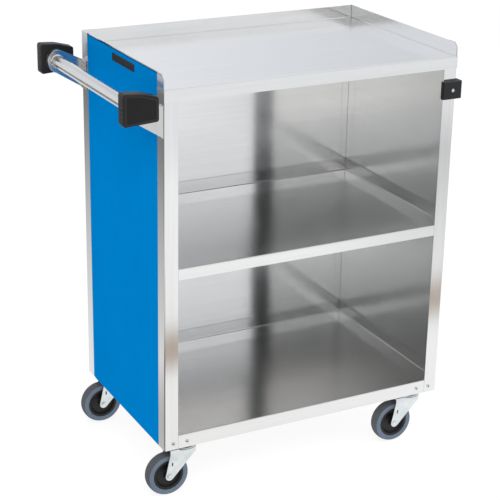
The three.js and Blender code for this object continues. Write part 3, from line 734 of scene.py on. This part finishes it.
for shelf in ("top_shelf", "middle_shelf", "bottom_shelf"):
    folded_shelf(shelf)
for corner, (right, rear) in CORNERS.items():
    folded_leg(corner, right, rear)
eased_copy("back_panel", "stainless", STEEL_X)
for end in ENDS:
    eased_copy(end + "_end_panel", "stainless", STEEL_Y, PANEL_EDGE)
for panel in ("left", "right", "back"):
    eased_copy(panel + "_colour_panel", "blue_laminate", BLUE_SHEET)


# The handle at the left end, and the small pieces of both ends

def drawn_tube():
    """The cross tube, with a small weld collar at each flange."""
    centre, size = measured("handle_tube")
    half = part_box("rear_handle_flange")[0].y - centre.y - GAP
    end = [(0, half), (size.z - TUBE_WALL, half)]
    end += [(size.z + out * COLLAR_RISE, half - along * COLLAR_RISE) for out, along in COLLAR]
    tube = lathed("handle_cross_tube", both_ways(end), centre, FINE_STEPS, TUBE_STEEL)
    settled(tube, "stainless", "handle_tube")


def handle_side(side, rear):
    """One side's arm, flange and bumper."""
    name = side + "_handle"
    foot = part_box("front_handle_arm")[1].x - ARM_FOOT

    def is_fold(edge):
        a, b = (vert.co for vert in edge.verts)
        long_upright = (b - a).length > ARM_FOLD and abs(b.z - a.z) > 0.99 * (b - a).length
        return long_upright and (a.x + b.x) / 2 > foot

    bm = copied(name + "_arm")
    eased(bm, ARM_BEND, ARM_BEND_STEPS, is_fold)
    eased(bm, ARM_EDGE)
    settled(made(name + "_arm_folded", bm, FLANGE_STEEL), "stainless", name + "_arm")
    centre, half = measured(name + "_flange")
    rim = arc((half.x - FLANGE_RIM, half.y - FLANGE_RIM), FLANGE_RIM, 90, 0, steps=2)
    bm = bmesh.new()
    turned(bm, both_ways([(0, half.y), *rim]), (0, 0, 0), "Y", FINE_STEPS)
    bmesh.ops.scale(bm, vec=(1, 1, half.z / half.x), verts=bm.verts)
    bmesh.ops.translate(bm, vec=centre, verts=bm.verts)
    settled(made(name + "_flange_disc", bm, FLANGE_STEEL), "stainless", name + "_flange")
    handle_bumper(name + "_bumper", rear)


def bumper_ring(low, high, margin):
    """The bumper's outline drawn in by a margin: its lower edge and its crowned upper edge both
    fall towards the body."""
    radius = max(BUMPER_RADIUS - margin / 2, BUMPER_RADIUS / 2)
    end, ahead = low.x + PAD_RISE + margin, high.x - margin
    end_top = TUBE_HEIGHT + BUMPER_TOP - margin
    ahead_top = TUBE_HEIGHT + BUMPER_AHEAD_TOP - margin
    return rounded([
        (end, TUBE_HEIGHT - BUMPER_BOTTOM + margin, radius),
        (ahead, TUBE_HEIGHT - BUMPER_AHEAD_BOTTOM + margin, radius),
        (ahead, ahead_top, radius),
        ((end + ahead) / 2, (end_top + ahead_top) / 2 + BUMPER_CROWN, CROWN_RADIUS),
        (end, end_top, radius),
    ])


def handle_bumper(node, rear):
    """A moulded block with rounded edges, a frame round a sunk field, and pads on its end."""
    low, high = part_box(node)
    depth = high.y - low.y
    inner, outer, outwards = (low.y, high.y, 1) if rear else (high.y, low.y, -1)
    bm = bmesh.new()
    rows = []
    for way, margin in BUMPER_INNER + [(depth / MM - way, margin) for way, margin in BUMPER_OUTER]:
        y = inner + outwards * way * MM
        rows.append([bm.verts.new((x, y, z)) for x, z in bumper_ring(low, high, margin * MM)])
    for a, b in zip(rows, rows[1:]):
        for i in range(len(a)):
            j = (i + 1) % len(a)
            bm.faces.new([a[i], a[j], b[j], b[i]])
    bm.faces.new(rows[0])
    bm.faces.new(rows[-1])

    bottom, height = TUBE_HEIGHT - BUMPER_BOTTOM, BUMPER_TOP + BUMPER_BOTTOM
    pitch = (height - 2 * BUMPER_RADIUS) / PAD_COUNT
    wide, tall = PAD_WIDE * depth, PAD_TALL * height
    y = (low.y + high.y) / 2
    for i in range(PAD_COUNT):
        z = bottom + BUMPER_RADIUS + (i + 0.5) * pitch
        pad = bmesh.new()
        path = rounded_rectangle(y - wide, z - tall, y + wide, z + tall, PAD_RADIUS)
        prism(pad, path, "X", low.x, low.x + PAD_ROOT)
        eased(pad, PAD_EDGE)
        merged(bm, pad)

    thing = made(node + "_moulding", bm, BUMPER_RUBBER, BUMPER_FIELD)
    for face in thing.data.polygons:
        x, y, z = face.center
        inside = low.x + FIELD_ENDS < x < high.x - FIELD_ENDS
        between = bottom + FIELD_BRINKS < z < bottom + height - FIELD_BRINKS
        sunk = FIELD_DEPTHS[0] < abs(y - outer) < FIELD_DEPTHS[1]
        face.material_index = 1 if inside and between and sunk else 0
    settled(thing, "bumper_rubber", node)


drawn_tube()
for side, rear in SIDES.items():
    handle_side(side, rear)
    bumper = side + "_corner_bumper"
    eased_copy(bumper, "bumper_rubber", BUMPER_RUBBER, CORNER_BUMPER_EDGE, segments=3)
    eased_copy(bumper + "_screw", "stainless", ZINC, CORNER_SCREW_EDGE, segments=3)
eased_copy("nameplate", "black_plate", PLATE_BLACK)


# Casters

def swivel_race(corner):
    """The swivel plate with rounded corners, and the pressed race below it."""
    low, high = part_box(corner + "_swivel_plate")
    centre = (low + high) / 2
    bm = bmesh.new()
    path = rounded_rectangle(low.x, low.y, high.x, high.y, PLATE_CORNER)
    prism(bm, path, "Z", high.z - PLATE_SHEET, high.z)
    eased(bm, PLATE_EDGE)
    race = bmesh.new()
    turned(race, in_mm(RACE), (centre.x, centre.y, low.z), "Z", ROUND_STEPS)
    merged(bm, race)
    thing = made(corner + "_swivel_race", bm, ZINC, PAINTED_SHADE)
    # The downward ring and the neck take the painted shade, for the gap above the fork and the
    # shadow under the plate
    for face in thing.data.polygons:
        height = face.center.z - low.z
        reach = math.hypot(face.center.x - centre.x, face.center.y - centre.y)
        neck = RACE_NECK[0] < height < RACE_NECK[1] and reach < RACE_NECK_REACH
        face.material_index = 1 if height < RACE_FACE or neck else 0
    settled(thing, "zinc_plate", corner + "_swivel_plate")


def axle_bolt(corner):
    centre, half = measured(corner + "_axle_bolt")
    profile = [(share * half.z, below * MM - half.y) for share, below in BOLT_HEAD]
    profile += [(BOLT_SHANK, profile[-1][1]), (BOLT_SHANK, half.y - BOLT_TIP),
                (BOLT_SHANK - BOLT_TIP, half.y), (0, half.y)]
    bolt = lathed(corner + "_axle_bolt_turned", profile, centre, ROUND_STEPS, ZINC)
    settled(bolt, "zinc_plate", corner + "_axle_bolt", body=corner + "_caster")


def wheel(corner):
    """A wheel's tyre, with its lips over the core, and the dished core with its hub."""
    centre, half = measured(corner + "_tyre")
    core = measured(corner + "_wheel_core")[1]
    lip, seat = core.z - TYRE_LIP, CORE_FACE + TYRE_FIT
    side = [(core.z + TYRE_FIT, seat), (lip, seat), (lip + 0.3 * MM, half.y - 0.9 * MM),
            (lip + 2 * MM, half.y - 0.1 * MM), (core.z, half.y)]
    side += [(half.z - inward * MM, half.y - back * MM) for inward, back in TYRE_SHOULDER]
    tyre = lathed(corner + "_tyre_turned", both_ways(side), centre, FINE_STEPS, TYRE_GREY,
                  TREAD_GREY)
    for face in tyre.data.polygons:
        place = face.center - centre
        face.material_index = 1 if math.hypot(place.x, place.z) > half.z - TREAD else 0
    settled(tyre, "grey_tyre", corner + "_tyre", body=corner + "_wheel")
    side = [(HUB_HOLE, core.y), (HUB_RADIUS, core.y), (HUB_RADIUS + HUB_EDGE, core.y - HUB_EDGE)]
    side += in_mm(CORE_DISH) + [(core.z, CORE_FACE)]
    dish = lathed(corner + "_core_turned", both_ways(side), centre, FINE_STEPS, CORE_NYLON)
    settled(dish, "black_nylon", corner + "_wheel_core", body=corner + "_wheel")


for corner in CORNERS:
    body = corner + "_caster"
    eased_copy(body + "_bracket", "stainless", STEEL_X, BRACKET_EDGE)
    eased_copy(corner + "_kingpin", "zinc_plate", ZINC, KINGPIN_EDGE)
    swivel_race(corner)
    eased_copy(corner + "_fork", "zinc_plate", ZINC, FORK_EDGE, body)
    eased_copy(corner + "_axle_nut", "zinc_plate", ZINC, NUT_EDGE, body)
    axle_bolt(corner)
    wheel(corner)


# Screws, set out by Geometry Nodes

def screw_pattern():
    """A pan-head screw of radius 1 with a sunk cross, as a template; its head points along +Z and
    its cross carries the attribute recess, whose faces get painted shade."""
    bm = bmesh.new()
    turned(bm, PAN_HEAD, (0, 0, 0), "Z", SMALL_STEPS)
    screw = made("screw_pattern", bm, ZINC)
    for a, b in ((CROSS_LONG, CROSS_WIDE), (CROSS_WIDE, CROSS_LONG)):
        bm = bmesh.new()
        prism(bm, [(-a, -b), (a, -b), (a, b), (-a, b)], "Z", CROSS_FLOOR, 1)
        cut(screw, made("cross", bm))
    recess = screw.data.attributes.new("recess", "BOOLEAN", "FACE")
    for face in screw.data.polygons:
        x, y, z = face.center
        near, far = sorted((abs(x), abs(y)))
        within = far < CROSS_LONG + CROSS_SLACK_LONG and near < CROSS_WIDE + CROSS_SLACK_WIDE
        recess.data[face.index].value = within and CROSS_SIDES[0] < z < CROSS_SIDES[1]
    return screw


def screw_tree():
    """Sets a screw on every point, its head along the point's facing and turned by chance, with
    painted shade in its sunk cross.
    """
    tree = bpy.data.node_groups.new("set screws", "GeometryNodeTree")
    for name, kind in (("Geometry", "Geometry"), ("Screw", "Object"), ("Seed", "Int"),
                       ("Plating", "Material"), ("Recess", "Material")):
        tree.interface.new_socket(name, in_out="INPUT", socket_type="NodeSocket" + kind)
    tree.interface.new_socket("Geometry", in_out="OUTPUT", socket_type="NodeSocketGeometry")
    given = tree.nodes.new("NodeGroupInput").outputs

    def attribute(name, kind):
        node = new_node(tree, "GeometryNodeInputNamedAttribute", {"Name": name})
        node.data_type = kind
        return node.outputs["Attribute"]

    pattern = new_node(tree, "GeometryNodeObjectInfo", {"Object": given["Screw"]})
    facing = new_node(tree, "FunctionNodeAlignRotationToVector",
                      {"Vector": attribute("facing", "FLOAT_VECTOR")})
    facing.axis = "Z"
    chance = new_node(tree, "FunctionNodeRandomValue", {"Seed": given["Seed"]}).outputs[1]
    angle = math_node(tree, "MULTIPLY", chance, math.pi)
    spin = new_node(tree, "ShaderNodeCombineXYZ", {"Z": angle})
    turn = new_node(tree, "FunctionNodeRotateRotation",
                    {"Rotation": facing.outputs["Rotation"], "Rotate By": spin.outputs[0]})
    turn.rotation_space = "LOCAL"
    instances = new_node(tree, "GeometryNodeInstanceOnPoints", {
        "Points": given["Geometry"], "Instance": pattern.outputs["Geometry"],
        "Rotation": turn.outputs["Rotation"], "Scale": attribute("radius", "FLOAT")})
    screws = new_node(tree, "GeometryNodeRealizeInstances",
                      {"Geometry": instances.outputs["Instances"]})
    plated = new_node(tree, "GeometryNodeSetMaterial", {
        "Geometry": screws.outputs["Geometry"], "Material": given["Plating"]})
    # Painted shade: the faces of the sunk cross take the dark material in place of their shadow
    dark = new_node(tree, "GeometryNodeSetMaterial", {
        "Geometry": plated.outputs["Geometry"], "Material": given["Recess"],
        "Selection": attribute("recess", "BOOLEAN")})
    new_node(tree, "NodeGroupOutput", {"Geometry": dark.outputs["Geometry"]})
    return tree


def set_screws(name, screws):
    """One mesh of all the screws: (place, facing, head radius) each, on the cart's body."""
    mesh = bpy.data.meshes.new(name)
    mesh.from_pydata([place for place, _, _ in screws], [], [])
    mesh.materials.append(ZINC)
    mesh.attributes.new("facing", "FLOAT_VECTOR", "POINT")
    mesh.attributes.new("radius", "FLOAT", "POINT")
    for i, (_, way, size) in enumerate(screws):
        mesh.attributes["facing"].data[i].vector = way
        mesh.attributes["radius"].data[i].value = size
    thing = in_scene(name, mesh)
    pattern = screw_pattern()
    modifier = thing.modifiers.new("screws", "NODES")
    modifier.node_group = screw_tree()
    values = {"Screw": pattern, "Seed": SCREW_SEED, "Plating": ZINC, "Recess": PAINTED_SHADE}
    for item in modifier.node_group.interface.items_tree:
        if item.in_out == "INPUT" and item.name in values:
            modifier[item.identifier] = values[item.name]
    applied(thing)
    bpy.data.objects.remove(pattern)
    settled(thing, "zinc_plate")


def all_screws():
    """Screws through the front and rear faces into the caster brackets, round each handle flange,
    and up through the swivel plates."""
    screws = []
    foot = FOOT + FOOT_SCREW_RISE
    for reach in FOOT_SCREWS:
        behind = BACK + (COLOUR_RISE if reach > LEG_FACE else 0)
        for x in (LEFT + reach, RIGHT - reach):
            screws.append(((x, LEG_FRONT, foot), (0, -1, 0), FOOT_HEAD))
            screws.append(((x, behind, foot), (0, 1, 0), FOOT_HEAD))
    for side, rear in SIDES.items():
        centre, _ = measured(side + "_handle_flange")
        y, facing = (BACK - FLANGE_FACE, -1) if rear else (FRONT + FLANGE_FACE, 1)
        for angle in map(math.radians, FLANGE_SCREW_ANGLES):
            x = centre.x + FLANGE_SCREW_REACH * math.cos(angle)
            z = centre.z + FLANGE_TALL * FLANGE_SCREW_REACH * math.sin(angle)
            screws.append(((x, y, z), (0, facing, 0), FLANGE_HEAD))
    for corner in CORNERS:
        low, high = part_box(corner + "_swivel_plate")
        for x in (low.x + PLATE_SCREW_X, high.x - PLATE_SCREW_X):
            for y in (low.y + PLATE_SCREW_Y, high.y - PLATE_SCREW_Y):
                screws.append(((x, y, high.z - PLATE_SHEET), (0, 0, -1), PLATE_HEAD))
    set_screws("cart_screws", screws)


all_screws()


# Studio. The world, the wall in front and the floor have tones that steel alone mirrors. A patch
# lies over what comes before it. It is a tone and ranges that are multiplied: the axis, the tone's
# share before and after the range, and the range

BACKDROP = (0.985, 1.0, 1.04)
BACKDROP_PATCHES = [
    ((0.63, 0.65, 0.69), ("X", 0, 1, 0.3, 0.65)),  # the right
    ((0.71, 0.72, 0.735), ("Z", 0, 1, 0.38, 0.5)),  # above eye height
    ((1.04, 1.04, 1.04), ("Z", 0, 1, 0.6, 0.8)),  # the ceiling
]

WALL_PLACE, WALL_REACH, WALL_TOP = -4.0, 8, 9.0
WALL_WHITE = (1.2, 1.19, 1.17)
WHITE_PATCHES = [
    ((1.2, 1.21, 1.22), ("X", 0, 1, -0.3, 0.5)),  # the right
    ((0.92, 0.92, 0.92), ("Z", 1, 0, 1.3, 1.75)),  # the foot
    ((0.82, 0.82, 0.82), ("X", 0, 1, 2.9, 3.5)),  # far to the right
    ((0.82, 0.82, 0.82), ("X", 1, 0, -3.5, -2.9)),  # far to the left
]
WALL_DIM = (0.04, 0.04, 0.04)
DIM_PATCHES = [
    ((0.38, 0.39, 0.4), ("X", 0, 1, -0.3, 0.5)),  # the right
    ((0.7, 0.7, 0.7), ("Z", 0, 1, 3.0, 3.8)),  # higher up
]
WALL_EDGE = (2.06, 2.23, -0.3, 0.5)  # the white's height at the left and at the right
WALL_BLUR = (-0.08, 0.12)  # across that edge

FLOOR_FRONT = (1.07, 1.07, 1.07)
FRONT_PATCHES = [
    ((0.67, 0.67, 0.67), ("X", 0, 1, 0.7, 1.6)),  # the right
    ((0.92, 0.93, 0.94), ("Y", 1, 0, -2.4, -2.0)),  # far in front
    ((1.0, 0.99, 0.96), ("X", 1, 0, -0.5, 0.6)),  # the left
    ((0.4, 0.3, 0.22), ("Y", 0, 0.85, -1.0, -0.88), ("Y", 1, 0, -0.8, -0.7)),  # a band near by
    ((0.3, 0.27, 0.25), ("X", 1, 0, -1.9, -1.5)),  # far to the left
    ((0.12, 0.11, 0.1), ("X", 1, 0, -0.45, -0.25), ("Y", 0, 1, -1.45, -1.25),
     ("X", 0, 1, -1.1, -0.9)),  # a dark patch in front of the handle
]
FLOOR_BEHIND = (1.0, 1.0, 1.0)
BEHIND_PATCHES = [
    ((0.17, 0.17, 0.17), ("X", 1, 0, -1.3, -0.3), ("Y", 1, 0, 3.2, 4.2)),  # the left
]
FLOOR_MIDDLE = (-0.1, 0.4)  # where the front gives way to what is behind
FLOOR_REACH = 12
FLOOR_GLOW, FLOOR_GLOW_SHARE = 1.12, 0.75

PALE = (0.8, 0.8, 0.8)
LAMP_AIM = (0, 0, 0.45)


def patched(tree, tone, place, patches):
    """A tone with patches over it, by a place or a direction given by axis."""
    for patch, *ranges in patches:
        shares = [ranged(tree, place[axis], *turn) for axis, *turn in ranges]
        share = shares[0]
        for other in shares[1:]:
            share = math_node(tree, "MULTIPLY", share, other)
        tone = mixed(tree, share, tone, patch)
    return tone


def emptied(block, coordinates):
    """The node tree of a material or the world, emptied, and coordinates by axis."""
    block.use_nodes = True
    tree = block.node_tree
    tree.nodes.clear()
    place = tree.nodes.new("ShaderNodeTexCoord").outputs[coordinates]
    return tree, new_node(tree, "ShaderNodeSeparateXYZ", {0: place}).outputs


def wall_material():
    """The wall in front, seen by steel alone: white up to a height, and a dim room above that."""
    material = bpy.data.materials.new("wall in front")
    tree, place = emptied(material, "Object")
    white = patched(tree, WALL_WHITE, place, WHITE_PATCHES)
    dim = patched(tree, WALL_DIM, place, DIM_PATCHES)
    above = math_node(tree, "SUBTRACT", place["Z"], ranged(tree, place["X"], *WALL_EDGE))
    tone = mixed(tree, ranged(tree, above, 0.0, 1.0, *WALL_BLUR), white, dim)
    glow = new_node(tree, "ShaderNodeEmission", {"Color": tone})
    new_node(tree, "ShaderNodeOutputMaterial", {"Surface": glow.outputs[0]})
    return material


def floor_material():
    """White with a faint shadow to all but steel, which mirrors its patches."""
    material = bpy.data.materials.new("pale floor")
    tree, place = emptied(material, "Object")
    front = patched(tree, FLOOR_FRONT, place, FRONT_PATCHES)
    behind = patched(tree, FLOOR_BEHIND, place, BEHIND_PATCHES)
    further = ranged(tree, place["Y"], 0.0, 1.0, *FLOOR_MIDDLE)
    tone = mixed(tree, further, front, behind)
    mirrored = new_node(tree, "ShaderNodeEmission", {"Color": tone})
    diffuse = new_node(tree, "ShaderNodeBsdfDiffuse", {"Color": (*PALE, 1)})
    glow = new_node(tree, "ShaderNodeEmission", {"Strength": FLOOR_GLOW})
    shown = new_node(tree, "ShaderNodeMixShader",
                     {0: FLOOR_GLOW_SHARE, 1: diffuse.outputs[0], 2: glow.outputs[0]})
    glossy = tree.nodes.new("ShaderNodeLightPath").outputs["Is Glossy Ray"]
    all_rays = new_node(tree, "ShaderNodeMixShader",
                        {0: glossy, 1: shown.outputs[0], 2: mirrored.outputs[0]})
    new_node(tree, "ShaderNodeOutputMaterial", {"Surface": all_rays.outputs[0]})
    return material


def lamp(name, place, size, power):
    light = bpy.data.lights.new(name, "AREA")
    light.size, light.energy = size, power
    holder = in_scene(name, light)
    holder.location = place
    holder.rotation_euler = (Vector(place) - Vector(LAMP_AIM)).to_track_quat("Z", "Y").to_euler()
    holder.visible_glossy = False


def studio():
    """A plain pale floor, soft lamps, a wall for steel to mirror, and a white room."""
    scene = bpy.context.scene
    scene.view_settings.view_transform = "Standard"
    bm = bmesh.new()
    polygon(bm, [(x * FLOOR_REACH, y * FLOOR_REACH, 0)
                 for x, y in ((-1, -1), (1, -1), (1, 1), (-1, 1))])
    floor = made("floor", bm, floor_material())
    bm = bmesh.new()
    polygon(bm, [(x * WALL_REACH, WALL_PLACE, z)
                 for x, z in ((-1, 0), (1, 0), (1, WALL_TOP), (-1, WALL_TOP))])
    wall = made("wall", bm, wall_material())
    wall.visible_camera = wall.visible_diffuse = wall.visible_shadow = False
    world = bpy.data.worlds.new("studio")
    scene.world = world
    tree, way = emptied(world, "Generated")
    room = patched(tree, BACKDROP, way, BACKDROP_PATCHES)
    ray = tree.nodes.new("ShaderNodeLightPath").outputs
    colour = mixed(tree, ray["Is Glossy Ray"], PALE, room)
    colour = mixed(tree, ray["Is Camera Ray"], colour, (1, 1, 1))
    shine = new_node(tree, "ShaderNodeBackground", {"Color": colour})
    new_node(tree, "ShaderNodeOutputWorld", {"Surface": shine.outputs[0]})
    lamp("key", place=(-1.6, -2.6, 3.2), size=2.4, power=60)
    lamp("fill", place=(2.8, -1.6, 2.2), size=2.0, power=30)


def camera():
    """The photographer's camera, from the angles that fit the edges in the picture."""
    azimuth, elevation, roll = map(math.radians, (-26.844, 20.149, 0.721))
    turn = Matrix.Rotation(azimuth, 4, "Z") @ Matrix.Rotation(math.pi / 2 - elevation, 4, "X")
    turn = turn @ Matrix.Rotation(roll, 4, "Z")
    lens = bpy.data.cameras.new("camera")
    lens.lens, lens.sensor_width = 105.57, 36
    lens.shift_x, lens.shift_y = 0.05, -0.05
    lens.clip_end = 60
    holder = in_scene("camera", lens)
    holder.matrix_world = Matrix.Translation((-1.3360, -2.5400, 1.5283)) @ turn
    bpy.context.scene.camera = holder


studio()
camera()
